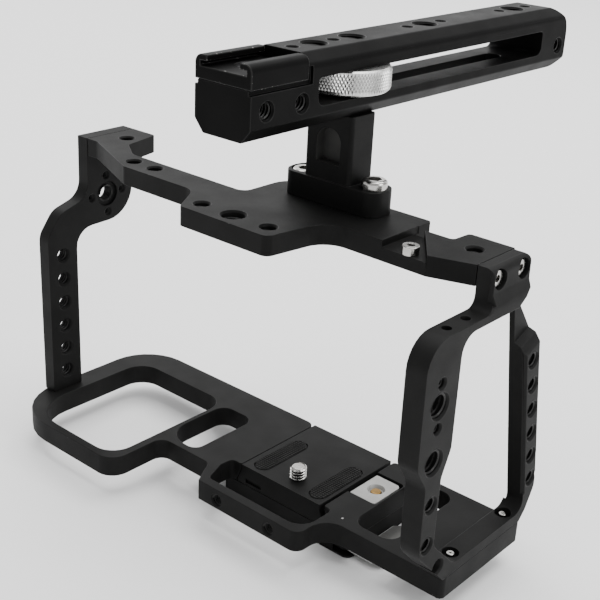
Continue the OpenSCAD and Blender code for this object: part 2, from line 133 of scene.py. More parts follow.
def blasted_grain():
    """Fine blasted grain and slow clouds. Sizes in metres."""
    group = bpy.data.node_groups.new("blasted_grain", "ShaderNodeTree")
    for name in ("Grain", "Cloud", "Depth"):
        group.interface.new_socket(name, in_out="INPUT", socket_type="NodeSocketFloat")
    group.interface.new_socket("Tone", in_out="OUTPUT", socket_type="NodeSocketFloat")
    group.interface.new_socket("Normal", in_out="OUTPUT", socket_type="NodeSocketVector")
    nodes, links = group.nodes, group.links
    start, end = nodes.new("NodeGroupInput"), nodes.new("NodeGroupOutput")
    place = nodes.new("ShaderNodeTexCoord")
    noises = []
    for socket, detail in (("Grain", 2.0), ("Cloud", 5.0)):
        per_metre = nodes.new("ShaderNodeMath")
        per_metre.operation = "DIVIDE"
        per_metre.inputs[0].default_value = 1.0
        noise = nodes.new("ShaderNodeTexNoise")
        noise.inputs["Detail"].default_value = detail
        links.new(start.outputs[socket], per_metre.inputs[1])
        links.new(per_metre.outputs[0], noise.inputs["Scale"])
        links.new(place.outputs["Object"], noise.inputs["Vector"])
        noises.append(noise.outputs["Fac"])
    both = nodes.new("ShaderNodeMix")
    both.inputs["Factor"].default_value = 0.5
    links.new(noises[0], both.inputs["A"])
    links.new(noises[1], both.inputs["B"])
    bump = nodes.new("ShaderNodeBump")
    bump.inputs["Strength"].default_value = 0.6
    links.new(start.outputs["Depth"], bump.inputs["Distance"])
    links.new(noises[0], bump.inputs["Height"])
    links.new(both.outputs["Result"], end.inputs["Tone"])
    links.new(bump.outputs["Normal"], end.inputs["Normal"])
    return group


def wear_specks():
    """Mask of small chips in a finish: 1 where the metal shows."""
    group = bpy.data.node_groups.new("wear_specks", "ShaderNodeTree")
    for name in ("Size", "Share"):
        group.interface.new_socket(name, in_out="INPUT", socket_type="NodeSocketFloat")
    group.interface.new_socket("Mask", in_out="OUTPUT", socket_type="NodeSocketFloat")
    nodes, links = group.nodes, group.links
    start, end = nodes.new("NodeGroupInput"), nodes.new("NodeGroupOutput")
    place = nodes.new("ShaderNodeTexCoord")
    per_metre = nodes.new("ShaderNodeMath")
    per_metre.operation = "DIVIDE"
    per_metre.inputs[0].default_value = 1.0
    chips = nodes.new("ShaderNodeTexNoise")
    chips.inputs["Detail"].default_value = 3.0
    least = nodes.new("ShaderNodeMath")
    least.operation = "SUBTRACT"
    least.inputs[0].default_value = 0.78
    chipped = nodes.new("ShaderNodeMath")
    chipped.operation = "GREATER_THAN"
    links.new(start.outputs["Size"], per_metre.inputs[1])
    links.new(per_metre.outputs[0], chips.inputs["Scale"])
    links.new(place.outputs["Object"], chips.inputs["Vector"])
    links.new(start.outputs["Share"], least.inputs[1])
    links.new(chips.outputs["Fac"], chipped.inputs[0])
    links.new(least.outputs[0], chipped.inputs[1])
    links.new(chipped.outputs[0], end.inputs["Mask"])
    return group


def spread(tree, source, low, high):
    """Maps the middle range of a mask to low..high."""
    ramp = tree.nodes.new("ShaderNodeMapRange")
    ramp.inputs["From Min"].default_value = 0.35
    ramp.inputs["From Max"].default_value = 0.65
    ramp.inputs["To Min"].default_value = low
    ramp.inputs["To Max"].default_value = high
    tree.links.new(source, ramp.inputs["Value"])
    return ramp.outputs["Result"]


def blasted(name, dark, light, rough, metal=0.0, gloss=0.5, ior=1.2, grain=0.00018, cloud=0.012, depth=0.00002,
            chips=None):
    """A blasted finish whose tone runs from dark to light. chips is (size, share, metal colour)."""
    material = bpy.data.materials.new(name)
    material.use_nodes = True
    tree = material.node_tree
    shader = tree.nodes["Principled BSDF"]
    shader.inputs["Metallic"].default_value = metal
    shader.inputs["Specular IOR Level"].default_value = gloss
    shader.inputs["IOR"].default_value = ior
    surface = tree.nodes.new("ShaderNodeGroup")
    surface.node_tree = bpy.data.node_groups.get("blasted_grain") or blasted_grain()
    surface.inputs["Grain"].default_value = grain
    surface.inputs["Cloud"].default_value = cloud
    surface.inputs["Depth"].default_value = depth
    tone = surface.outputs["Tone"]
    mix = tree.nodes.new("ShaderNodeMix")
    mix.data_type = "RGBA"
    mix.inputs["A"].default_value = (*dark, 1)
    mix.inputs["B"].default_value = (*light, 1)
    tree.links.new(spread(tree, tone, 0, 1), mix.inputs["Factor"])
    color = mix.outputs["Result"]
    if chips:
        worn = tree.nodes.new("ShaderNodeGroup")
        worn.node_tree = bpy.data.node_groups.get("wear_specks") or wear_specks()
        worn.inputs["Size"].default_value = chips[0]
        worn.inputs["Share"].default_value = chips[1]
        bare = tree.nodes.new("ShaderNodeMix")
        bare.data_type = "RGBA"
        bare.inputs["B"].default_value = (*chips[2], 1)
        tree.links.new(color, bare.inputs["A"])
        tree.links.new(worn.outputs["Mask"], bare.inputs["Factor"])
        color = bare.outputs["Result"]
    tree.links.new(color, shader.inputs["Base Color"])
    tree.links.new(spread(tree, tone, rough + 0.06, rough - 0.06), shader.inputs["Roughness"])
    tree.links.new(surface.outputs["Normal"], shader.inputs["Normal"])
    return material


anodised = blasted("black_anodised", (0.0055, 0.0055, 0.0054), (0.009, 0.009, 0.0088), 0.55, gloss=0.41)
anodised_edge = blasted("black_anodised_edge", (0.005, 0.005, 0.0048), (0.009, 0.009, 0.0087), 0.42, gloss=0.5,
                        chips=(0.0007, 0.03, (0.2, 0.2, 0.19)))
thread_finish = blasted("anodised_thread", (0.007, 0.007, 0.0068), (0.014, 0.014, 0.0135), 0.32, gloss=0.96)


def cad_copy(node, name=None, whole_faces=True):
    """The mesh of a CAD node as a new piece, its triangles joined, and its flat faces made whole."""
    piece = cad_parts[node].copy()
    piece.data = piece.data.copy()
    piece.name = name or node + "_finished"
    piece.parent = None
    for key in [key for key in piece.keys() if key.startswith("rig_")]:
        del piece[key]
    bpy.context.scene.collection.objects.link(piece)
    piece.hide_render = piece.hide_viewport = False
    only(piece)
    bpy.ops.object.mode_set(mode="EDIT")
    bpy.ops.mesh.select_all(action="SELECT")
    bpy.ops.mesh.remove_doubles(threshold=MERGE_DISTANCE)
    if whole_faces:
        bpy.ops.mesh.dissolve_limited(angle_limit=math.radians(0.4))
    bpy.ops.object.mode_set(mode="OBJECT")
    if piece.data.has_custom_normals:
        bpy.ops.mesh.customdata_custom_splitnormals_clear()
    piece.data.materials.clear()
    return piece


def sharp_runs(piece, sharp):
    """The sharp edges of a piece, as lists of edges that hang together."""
    only(piece)
    bpy.ops.object.mode_set(mode="EDIT")
    bpy.ops.mesh.select_mode(type="EDGE")
    bpy.ops.mesh.select_all(action="DESELECT")
    bpy.ops.mesh.edges_select_sharp(sharpness=math.radians(sharp))
    bpy.ops.object.mode_set(mode="OBJECT")
    found = [edge for edge in piece.data.edges if edge.select]
    run_of = {}
    for edge in found:
        ends = [run_of.get(corner, [corner]) for corner in edge.vertices]
        if ends[0] is not ends[1]:
            ends[0].extend(ends[1])
        for corner in ends[0]:
            run_of[corner] = ends[0]
    runs = {}
    for edge in found:
        runs.setdefault(id(run_of[edge.vertices[0]]), []).append(edge)
    return list(runs.values())


def widest(piece, run):
    corners = [piece.data.vertices[i].co for edge in run for i in edge.vertices]
    return max(max(c[i] for c in corners) - min(c[i] for c in corners) for i in range(3))


def break_edges(piece, width, segments=2, sharp=32, edge_index=0, rim_width=None, rim_size=14 * MM):
    """Takes the sharpness off every edge, as the deburring pass does, and less off the rims of holes."""
    passes = [(True, rim_width), (False, width)] if rim_width else [(None, width)]
    for rims, offset in passes:
        for run in sharp_runs(piece, sharp):
            chosen = rims is None or (widest(piece, run) < rim_size) == rims
            for edge in run:
                edge.select = chosen
        for part in (*piece.data.vertices, *piece.data.polygons):
            part.select = False
        bpy.ops.object.mode_set(mode="EDIT")
        bpy.ops.mesh.bevel(offset=offset, segments=segments, affect="EDGES", clamp_overlap=False,
                           material=edge_index)
        bpy.ops.object.mode_set(mode="OBJECT")
    bpy.ops.object.shade_smooth_by_angle(angle=math.radians(48))
    flats = piece.modifiers.new("flat_faces_stay_flat", "WEIGHTED_NORMAL")
    flats.keep_sharp = True
    bpy.ops.object.modifier_apply(modifier=flats.name)
    return piece


def fixed_to(piece, body, node):
    """Ties a finished piece to its body and lets it stand for its CAD node."""
    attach(piece, body)
    if node:
        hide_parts(node)
    return piece


def milled(node, body, width=0.2 * MM, face=None, edge=None):
    """A milled and anodised plate with its edges broken, in the place of its CAD node."""
    piece = cad_copy(node)
    piece.data.materials.append(face or anodised)
    piece.data.materials.append(edge or anodised_edge)
    break_edges(piece, width, edge_index=1, rim_width=0.1 * MM)
    return fixed_to(piece, body, node)


def another(piece):
    twin = piece.copy()
    twin.data = piece.data.copy()
    bpy.context.scene.collection.objects.link(twin)
    return twin


def stand(piece, place, way):
    """Turns a piece that was modelled along +Z to point along way, with its origin at place."""
    turn = Vector(way).to_track_quat("Z", "Y").to_matrix().to_4x4()
    piece.matrix_world = Matrix.Translation(place) @ turn
    return settle(piece)


def joined(pieces, name):
    deselect_all()
    for piece in pieces:
        piece.select_set(True)
    bpy.context.view_layer.objects.active = pieces[0]
    if len(pieces) > 1:
        bpy.ops.object.join()
    pieces[0].name = name
    return pieces[0]


def screw_ridge(apex_r, pitch, low, high, inward=True):
    """One helical thread ridge round Z from low to high, its crest at apex_r and its root towards the metal."""
    size = pitch * (0.5 if inward else 0.3)
    side = -1 if inward else 1
    deselect_all()
    bpy.ops.mesh.primitive_circle_add(vertices=3, radius=size, rotation=(math.pi / 2, side * math.pi / 2, 0),
                                      location=(apex_r - side * size, 0, low))
    ridge = settle(bpy.context.object)
    bpy.ops.transform.rotate(value=math.pi, orient_axis="Z", center_override=(0, 0, 0))
    settle(ridge)
    twist = ridge.modifiers.new("twist", "SCREW")
    twist.axis = "Z"
    twist.screw_offset = pitch
    twist.iterations = max(1, round((high - low) / pitch))
    twist.steps = twist.render_steps = 20
    twist.use_smooth_shade = False
    bpy.ops.object.modifier_apply(modifier=twist.name)
    bpy.ops.object.mode_set(mode="EDIT")
    bpy.ops.mesh.select_all(action="DESELECT")
    bpy.ops.mesh.select_mode(type="EDGE")
    bpy.ops.mesh.select_non_manifold()
    bpy.ops.mesh.fill_holes(sides=3)
    bpy.ops.mesh.select_all(action="SELECT")
    bpy.ops.mesh.normals_make_consistent(inside=False)
    bpy.ops.object.mode_set(mode="OBJECT")
    return ridge


# Core radius and pitch of each thread, in mm
QUARTER, THREE_EIGHTH, FINE, SMALL = (2.6, 1.27), (4.0, 1.5875), (1.6, 0.7), (1.25, 0.5)
BUMPER_THREAD, LOCATING_THREAD = (2.1, 0.8), (3.2, 0.9)


def tapped_holes(thread, depth, mouths, way_out):
    """The ridges of like tapped holes: one is modelled, and the others are copies of it."""
    core, pitch = thread
    first = screw_ridge((core - 0.32 * pitch) * MM, pitch * MM, (0.75 - depth) * MM, -0.8 * MM)
    cuts = [first] + [another(first) for _ in mouths[1:]]
    return [stand(cut, mouth, way_out) for cut, mouth in zip(cuts, mouths)]


def threads(cuts, name, body):
    piece = joined(cuts, name)
    piece.data.materials.append(thread_finish)
    return fixed_to(piece, body, None)


milled("base_plate", "cage", 0.3 * MM)
bumper_y = -14.6
threads(tapped_holes(BUMPER_THREAD, 4.6, [at(x, bumper_y, 3.6) for x in (-89, -63.8)], (0, -1, 0)),
        "bumper_threads", "cage")


# ---------------------------------------------------------------- dowel
# A short steel dowel pressed into the base in front of the silver block, beside the lever's window. Its broken
# end stands just proud of the anodised face.

dowel_r, dowel_l = 0.45 * MM, 1.2 * MM
deselect_all()
bpy.ops.mesh.primitive_cylinder_add(vertices=32, radius=dowel_r, depth=dowel_l, location=at(-45.3, 4.0, 7.65))
dowel = settle(bpy.context.object)
dowel.name = "base_dowel"
drawn_steel = blasted("drawn_steel", (0.2, 0.2, 0.195), (0.3, 0.3, 0.29), 0.25, metal=1.0, cloud=0.002)
dowel.data.materials.append(drawn_steel)
break_edges(dowel, 0.15 * MM, segments=3)
fixed_to(dowel, "cage", None)


# ---------------------------------------------------------------- quick-release housing
# A flat block under the base that holds the tripod threads, the lock and its cover. It is milled and anodised
# like the base, and three black socket screws hold it from below.

milled("qr_housing", "cage")
threads(tapped_holes(THREE_EIGHTH, 8, [at(-73.5, 25, -8)], (0, 0, -1))
        + tapped_holes(QUARTER, 8, [at(-73.5, 37, -8)], (0, 0, -1)), "tripod_threads", "cage")

black_oxide = blasted("black_oxide_steel", (0.01, 0.01, 0.0105), (0.025, 0.025, 0.026), 0.35, metal=0.6,
                      cloud=0.004, depth=0.00001)


def cap_screw(head_r, head_h, key_r, shank_r, shank_l, crown=0.25):
    """Socket head cap screw, the top of its head at the origin and its shank down along -Z. Sizes in mm."""
    deselect_all()
    bpy.ops.mesh.primitive_cylinder_add(vertices=48, radius=head_r * MM, depth=head_h * MM,
                                        location=(0, 0, -head_h / 2 * MM))
    screw = settle(bpy.context.object)
    bpy.ops.object.mode_set(mode="EDIT")
    bpy.ops.mesh.select_mode(type="FACE")
    bpy.ops.mesh.select_all(action="DESELECT")
    bpy.ops.object.mode_set(mode="OBJECT")
    for face in screw.data.polygons:
        face.select = face.normal.z < -0.9
    bpy.ops.object.mode_set(mode="EDIT")
    bpy.ops.mesh.inset(thickness=(head_r - shank_r) * MM)
    bpy.ops.mesh.extrude_region_move(TRANSFORM_OT_translate={"value": (0, 0, -shank_l * MM)})
    bpy.ops.mesh.select_mode(type="EDGE")
    bpy.ops.mesh.select_all(action="DESELECT")
    bpy.ops.object.mode_set(mode="OBJECT")
    for edge in screw.data.edges:
        edge.select = all(screw.data.vertices[i].co.z > -0.001 * MM for i in edge.vertices)
    bpy.ops.object.mode_set(mode="EDIT")
    bpy.ops.mesh.bevel(offset=crown * MM, segments=4, affect="EDGES")
    bpy.ops.object.mode_set(mode="OBJECT")
    key_depth = head_h * 0.7
    deselect_all()
    bpy.ops.mesh.primitive_cylinder_add(vertices=6, radius=key_r * MM, depth=2 * key_depth * MM)
    key = bpy.context.object
    only(screw)
    socket = screw.modifiers.new("key_socket", "BOOLEAN")
    socket.object = key
    socket.solver = "EXACT"
    bpy.ops.object.modifier_apply(modifier=socket.name)
    bpy.data.objects.remove(key)
    return break_edges(screw, 0.08 * MM, segments=1, sharp=50)


def screws(places, way_out, name, node, finish, slot, *sizes, body="cage", **form):
    """Like screws: one is modelled and the others are copies of it."""
    first = cap_screw(*sizes, **form)
    first.data.materials.append(finish)
    all_of_them = [first] + [another(first) for _ in places[1:]]
    piece = joined([stand(screw, place, way_out) for screw, place in zip(all_of_them, places)], name)
    return fixed_to(piece, body, node)


screws([at(-103.5, 17.5, -7.85), at(-103.5, 42.3, -7.85), at(-47.5, 41.6, -7.85)], (0, 0, -1),
       "housing_cap_screws", "housing_screws", black_oxide, "black_steel", 2.75, 2.4, 1.3, 1.5, 11.2)


# ---------------------------------------------------------------- quick-release plate and its pads
# The plate slides in from the back between dovetails. Two rubber pads with a fine moulded grid are glued into
# shallow pockets, and stand a little proud to grip the camera.

milled("qr_plate", "plate", 0.2 * MM)

rubber = blasted("pad_rubber", (0.014, 0.014, 0.0137), (0.024, 0.024, 0.0235), 0.8, gloss=0.48, grain=0.0001,
                 cloud=0.006, depth=0.000008)
# Of the moulded squares and of the room round the pad in its pocket, in mm
pad_pitch, pad_gap, pad_rise, pad_room, pad_margin = 1.1, 0.4, 0.3, 0.3, 0.45


def rubber_pad(node):
    """The glued pad: its body from the CAD, lowered by the rise of the moulded squares on top of it."""
    low, high = (Vector(corner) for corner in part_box(node))
    bed = cad_copy(node, node + "_bed")
    for corner in bed.data.vertices:
        for i in (0, 1):
            centre = (low[i] + high[i]) / 2
            corner.co[i] -= math.copysign(min(pad_room * MM, abs(corner.co[i] - centre)), corner.co[i] - centre)
        if corner.co.z > high.z - 0.01 * MM:
            corner.co.z -= pad_rise * MM
    across, along = (round((high[i] - low[i]) / (pad_pitch * MM)) for i in (0, 1))
    deselect_all()
    bpy.ops.mesh.primitive_grid_add(x_subdivisions=across, y_subdivisions=along, size=1)
    grid = bpy.context.object
    bpy.ops.object.mode_set(mode="EDIT")
    bpy.ops.mesh.select_mode(type="FACE")
    bpy.ops.object.mode_set(mode="OBJECT")
    grid.scale = (high.x - low.x, high.y - low.y, 1)
    grid.location = ((low.x + high.x) / 2, (low.y + high.y) / 2, high.z - (pad_rise + 0.02) * MM)
    settle(grid)
    end_r = (high.x - low.x) / 2
    middle = (low + high) / 2
    reach = (high.y - low.y) / 2 - end_r
    for face in grid.data.polygons:
        past = max(0, abs(face.center.y - middle.y) - reach)
        face.select = math.hypot(face.center.x - middle.x, past) > end_r - pad_margin * MM
    bpy.ops.object.mode_set(mode="EDIT")
    bpy.ops.mesh.delete(type="FACE")
    bpy.ops.mesh.select_all(action="SELECT")
    bpy.ops.mesh.inset(thickness=pad_gap / 2 * MM, use_individual=True, use_boundary=True)
    bpy.ops.mesh.extrude_faces_move(TRANSFORM_OT_shrink_fatten={"value": pad_rise * MM})
    bpy.ops.object.mode_set(mode="OBJECT")
    pad = joined([bed, grid], node + "_moulded")
    pad.data.materials.append(rubber)
    return fixed_to(pad, "plate", node)


rubber_pad("qr_pad_left")
rubber_pad("qr_pad_right")


# ---------------------------------------------------------------- camera screw
# The captive 1/4 inch screw of the plate: turned from stainless steel, with a slotted head under the plate and
# a short polished thread above it.

bright_steel = blasted("bright_stainless", (0.36, 0.355, 0.34), (0.5, 0.49, 0.47), 0.2, metal=1.0,
                       grain=0.0003, cloud=0.004, depth=0.000006)
screw_axis = at(-73.5, 12.5, 0)
root_share = 0.84
camera_screw = cad_copy("qr_screw", "camera_screw")
for corner in camera_screw.data.vertices:
    if corner.co.z > at(0, 0, 8.4).z:
        for i in (0, 1):
            corner.co[i] = screw_axis[i] + (corner.co[i] - screw_axis[i]) * root_share
camera_screw.data.materials.append(bright_steel)
# Painted shade: the sides of the screw's threaded end, between the ridges, get a dark steel colour for the shade in
# the thread's valleys.
root_painted_shade = blasted("camera_screw_root_painted_shade", (0.02, 0.02, 0.02), (0.05, 0.05, 0.048), 0.4, metal=0.8, cloud=0.002)
camera_screw.data.materials.append(root_painted_shade)
break_edges(camera_screw, 0.15 * MM)
for face in camera_screw.data.polygons:
    if face.center.z > at(0, 0, 8.2).z and abs(face.normal.z) < 0.2:
        face.material_index = 1
camera_thread = screw_ridge(3.1 * MM, 1.15 * MM, 8.5 * MM, 12.95 * MM, inward=False)
bpy.ops.transform.rotate(value=math.radians(50), orient_axis="Z", center_override=(0, 0, 0))
camera_thread.location = (screw_axis.x, screw_axis.y, at(0, 0, 0).z)
settle(camera_thread)
camera_thread.data.materials.append(bright_steel)
fixed_to(joined([camera_screw, camera_thread], "camera_screw"), "camera_screw_body", "qr_screw")


# ---------------------------------------------------------------- lock
# A steel lever turns an eccentric, which draws a silver block against the plate's dovetail. A brass pin on a
# spring stands in the block, and a thin black cover closes the lever's recess below.

milled("lever_cover", "cage", 0.15 * MM)

satin_silver = blasted("satin_silver", (0.31, 0.31, 0.3), (0.39, 0.39, 0.38), 0.5, metal=0.25, gloss=0.3,
                       cloud=0.006, depth=0.00001)
block = cad_copy("lock_block", whole_faces=False)
block_low, block_high = (Vector(corner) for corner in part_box("lock_block"))
deselect_all()
bpy.ops.mesh.primitive_cube_add(size=1, location=(block_low + block_high) / 2)
round_bar = bpy.context.object
overlap = 2 * MM
round_bar.scale = block_high - block_low + Vector((0, 0, overlap))
settle(round_bar)
bpy.ops.object.mode_set(mode="EDIT")
bpy.ops.mesh.select_mode(type="EDGE")
bpy.ops.mesh.select_all(action="DESELECT")
bpy.ops.object.mode_set(mode="OBJECT")
for edge in round_bar.data.edges:
    foot, top = (round_bar.data.vertices[i].co for i in edge.vertices)
    edge.select = abs(foot.z - top.z) > 1 * MM
bpy.ops.object.mode_set(mode="EDIT")
bpy.ops.mesh.bevel(offset=1.7 * MM, segments=6, affect="EDGES")
bpy.ops.object.mode_set(mode="OBJECT")
only(block)
corners = block.modifiers.new("rounded_corners", "BOOLEAN")
corners.object = round_bar
corners.operation = "INTERSECT"
corners.solver = "EXACT"
bpy.ops.object.modifier_apply(modifier=corners.name)
bpy.data.objects.remove(round_bar)
pin_low, pin_high = (Vector(corner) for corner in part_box("lock_pin"))
pin_axis = (pin_low + pin_high) / 2
cone_share, ledge_drop, pin_drop = 1.22, 0.7 * MM, 0.35 * MM
ledge_z = at(0, 0, 7.4).z
for corner in block.data.vertices:
    out = math.hypot(corner.co.x - pin_axis.x, corner.co.y - pin_axis.y)
    if out < 3.2 * MM and abs(corner.co.z - block_high.z) < 0.1 * MM:
        corner.co.x = pin_axis.x + (corner.co.x - pin_axis.x) * cone_share
        corner.co.y = pin_axis.y + (corner.co.y - pin_axis.y) * cone_share
    if out < 2.9 * MM and abs(corner.co.z - ledge_z) < 0.1 * MM:
        corner.co.z -= ledge_drop
block.data.materials.append(satin_silver)
break_edges(block, 0.15 * MM, sharp=70)
fixed_to(block, "block", "lock_block")

brass = blasted("turned_brass", (0.16, 0.09, 0.025), (0.32, 0.2, 0.07), 0.3, metal=1.0, cloud=0.003,
                depth=0.00001)
pin = cad_copy("lock_pin")
for corner in pin.data.vertices:
    if corner.co.z > pin_high.z - 0.05 * MM:
        corner.co.z -= pin_drop
pin.data.materials.append(brass)
break_edges(pin, 0.45 * MM, segments=1)
fixed_to(pin, "pin", "lock_pin")

ground_steel = blasted("ground_steel", (0.17, 0.17, 0.165), (0.27, 0.27, 0.26), 0.42, metal=0.9, cloud=0.005,
                       depth=0.000015)
# The lever's broad chamfer is ground steel, but it gets a near-white, non-metallic colour: a painted highlight, since
# the chamfer lies in the base's shadow.
lever_chamfer_painted_highlight = blasted("ground_chamfer_painted_highlight", (0.7, 0.7, 0.69), (0.85, 0.85, 0.83), 0.4, gloss=0.5, ior=1.5,
                      cloud=0.005)
lever = cad_copy("lock_lever")
lever.data.materials.append(ground_steel)
lever.data.materials.append(lever_chamfer_painted_highlight)
break_edges(lever, 0.8 * MM, segments=1, edge_index=1)
fixed_to(lever, "lever", "lock_lever")

pivot = cad_copy("lever_pivot")
pivot.data.materials.append(bright_steel)
break_edges(pivot, 0.2 * MM)
fixed_to(pivot, "cage", "lever_pivot")


# ---------------------------------------------------------------- left arm
# A flat arm bolted to the base and the top bar, with a column of six 1/4 inch threads and a round locating hole
# with four small threads for a handgrip's rosette.

milled("left_arm", "cage", 0.3 * MM)
bracket_thickness, between_sides = 7.5, 180
arm_inside = -bracket_thickness - between_sides
arm_thickness = 5.9
rosette_y, rosette_z, rosette_r = 19.3, 88.3, 7.8
threads(tapped_holes(QUARTER, arm_thickness, [at(arm_inside, -3.5, 16.2 + i * 10.2) for i in range(6)], (1, 0, 0))
        + tapped_holes(LOCATING_THREAD, arm_thickness, [at(arm_inside, rosette_y, rosette_z)], (1, 0, 0))
        + tapped_holes(SMALL, arm_thickness,
                       [at(arm_inside, rosette_y + rosette_r * math.cos(math.radians(a)),
                           rosette_z + rosette_r * math.sin(math.radians(a))) for a in (3, 93, 183, 273)], (1, 0, 0)),
        "left_arm_threads", "cage")

screws([at(arm_inside - arm_thickness + 0.2, y, 108.7) for y in (15.8, 29.2)], (-1, 0, 0),
       "arm_top_cap_screws", "arm_top_screws", bright_steel, "steel", 2.75, 2.3, 1.3, 1.5, 10)
screws([at(arm_inside - 3, y, 0.4) for y in (-6.8, -0.4)], (0, 0, -1),
       "arm_foot_cap_screws", "arm_foot_screws", black_oxide, "black_steel", 2.75, 2.6, 1.3, 1.5, 9.4)


# ---------------------------------------------------------------- top bar
# One milled plate from arm to bracket with two wings of threads and a recess at its front right corner. It is
# made a little shorter than the space between arm and bracket, which leaves a fine seam at each end.

bar_finish = blasted("bar_anodised", (0.0035, 0.0035, 0.0034), (0.006, 0.006, 0.0058), 0.53, gloss=0.42)
right_seam, left_seam = 0.25 * MM, 0.2 * MM
top_bar = cad_copy("top_bar")
for corner in top_bar.data.vertices:
    if corner.co.x > at(-7.6, 0, 0).x:
        corner.co.x -= right_seam
    elif corner.co.x < at(-187.4, 0, 0).x:
        corner.co.x += left_seam
top_bar.data.materials.append(bar_finish)
top_bar.data.materials.append(anodised_edge)
fixed_to(break_edges(top_bar, 0.2 * MM, edge_index=1, rim_width=0.1 * MM), "cage", "top_bar")
top_z, top_thickness = 112.9, 7
threads(tapped_holes(QUARTER, top_thickness,
                     [at(x, y, top_z) for x, y in ((-101.8, -11.3), (-71.6, -11.3), (-152.6, 3.4), (-141.2, 3.4),
                                                   (-178.1, 22.1), (-15.7, 22.1))], (0, 0, 1))
        + tapped_holes(THREE_EIGHTH, top_thickness, [at(-87.2, -11.3, top_z)], (0, 0, 1)),
        "top_bar_threads", "cage")
screws([at(-30.6, 9.1, top_z + 0.4)], (0, 0, 1),
       "top_recess_cap_screw", "top_cap_screw", bright_steel, "steel", 2.75, 2.9, 1.3, 1.5, 4.3)


# ---------------------------------------------------------------- right bracket
# The bracket on the lock side is one bent-looking frame milled from thick plate, with a slim front rod and a
# bevelled rear leg. Two screws hold its foot and two its head.

milled("right_bracket", "cage", 0.2 * MM)
right_face = 0
threads(tapped_holes(FINE, bracket_thickness, [at(right_face, -13.2, z) for z in (84.7, 69.6)], (1, 0, 0))
        + tapped_holes(THREE_EIGHTH, bracket_thickness, [at(right_face, -13.2, z) for z in (77.2, 58)], (1, 0, 0))
        + tapped_holes(QUARTER, bracket_thickness,
                       [at(right_face, y, z) for y, z in ((-12.2, 42.5), (-12.1, 27.6))]
                       + [at(right_face, 40.8 + i * 2.02, 73.7 - i * 9.86) for i in range(6)], (1, 0, 0)),
        "right_bracket_threads", "cage")
screws([at(-2.8, y, 108.7) for y in (15.8, 29.2)], (1, 0, 0),
       "bracket_head_cap_screws", "bracket_head_screws", bright_steel, "steel", 2.75, 2.8, 1.3, 1.5, 9)
screws([at(-4.1, y, 12.1) for y in (9.6, 42)], (0, 0, 1),
       "bracket_foot_cap_screws", "bracket_foot_screws", bright_steel, "steel", 1.35, 2.4, 0.5, 1.0, 7.8, crown=0.35)


# ---------------------------------------------------------------- riser
# A milled post on a rounded foot that carries the handle. Two large stainless bolts hold it: the left one is
# sunk in its counterbore, the right one stands on the foot.

riser = milled("riser", "cage", 0.2 * MM, face=bar_finish)
# Painted light: the faces inside the post's front recess get a much lighter colour than the rest of the post, to lift
# the deep pocket that the lamps leave dark.
recess_painted_light = blasted("riser_recess_painted_light", (0.03, 0.03, 0.029), (0.048, 0.048, 0.046), 0.6, gloss=0.5)
riser.data.materials.append(recess_painted_light)
post_x, recess_half = -73.5, 5.2
recess_low, recess_high = at(post_x - recess_half, 18.95, 127.3), at(post_x + recess_half, 22.9, 139.9)
for face in riser.data.polygons:
    if all(recess_low[i] < face.center[i] < recess_high[i] for i in range(3)):
        face.material_index = 2
riser_y, riser_foot_top = 24.7, top_z + 8.7
screws([at(-87.9, riser_y, riser_foot_top)], (0, 0, 1), "riser_bolt_left", None, bright_steel,
       "steel", 4.4, 3.9, 2.5, 2.5, 11, crown=0.8)
screws([at(-57.9, riser_y, riser_foot_top + 3.2)], (0, 0, 1), "riser_bolt_right", "riser_bolts", bright_steel,
       "steel", 4.4, 3.2, 2.5, 2.5, 15, crown=1.2)

stud = cad_copy("riser_stud")
stud.data.materials.append(bright_steel)
break_edges(stud, 0.4 * MM)
fixed_to(stud, "cage", "riser_stud")
washer = cad_copy("clamp_washer")
washer.data.materials.append(bright_steel)
break_edges(washer, 0.1 * MM)
fixed_to(washer, "cage", "clamp_washer")


# ---------------------------------------------------------------- thumbwheel
# The knurled clamping nut inside the handle's window: stainless steel, turned, with a diamond knurl rolled
# into its rim and plain faces.

wheel_low, wheel_high = (Vector(corner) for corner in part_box("thumbwheel"))
wheel_axis = (wheel_low + wheel_high) / 2
wheel_r = (wheel_high.x - wheel_low.x) / 2
diamonds, rows = 86, 7
rim, crest = 0.5 * MM, 0.36 * MM
face_r = wheel_r - 4 * MM
row_height = (wheel_high.z - wheel_low.z - 2 * rim) / rows


def ring_step(scale, rise):
    """Extrudes the selected ring up by rise and scales it about the wheel's axis."""
    bpy.ops.mesh.extrude_region_move(TRANSFORM_OT_translate={"value": (0, 0, rise)})
    bpy.ops.transform.resize(value=(scale, scale, 1), center_override=(wheel_axis.x, wheel_axis.y, 0))


deselect_all()
bore_r = 3.06 * MM
valley_r = wheel_r - crest
bpy.ops.mesh.primitive_circle_add(vertices=2 * diamonds, radius=bore_r,
                                  location=(wheel_axis.x, wheel_axis.y, wheel_low.z))
wheel = settle(bpy.context.object)
wheel.name = "knurled_wheel"
bpy.ops.object.mode_set(mode="EDIT")
bpy.ops.mesh.select_mode(type="EDGE")
bpy.ops.mesh.select_all(action="SELECT")
ring_step(face_r / bore_r, 0)
ring_step((wheel_r - rim - crest) / face_r, 0)
ring_step(valley_r / (wheel_r - rim - crest), rim)
for _ in range(rows):
    ring_step(1, row_height)
ring_step((wheel_r - rim - crest) / valley_r, rim)
ring_step(face_r / (wheel_r - rim - crest), 0)
ring_step(bore_r / face_r, 0)
bpy.ops.mesh.select_all(action="DESELECT")
bpy.ops.mesh.select_mode(type="EDGE")
bpy.ops.mesh.select_non_manifold()
bpy.ops.mesh.bridge_edge_loops()
bpy.ops.object.mode_set(mode="OBJECT")


def knurl_step(corner):
    """Column plus row of a corner of the rim, or None off the knurl."""
    out = corner.co - wheel_axis
    row = (corner.co.z - wheel_low.z - rim) / row_height
    if math.hypot(out.x, out.y) < valley_r - 0.05 * MM or not -0.1 < row < rows + 0.1:
        return None
    return round(math.atan2(out.y, out.x) / math.pi * diamonds) + round(row), round(row)


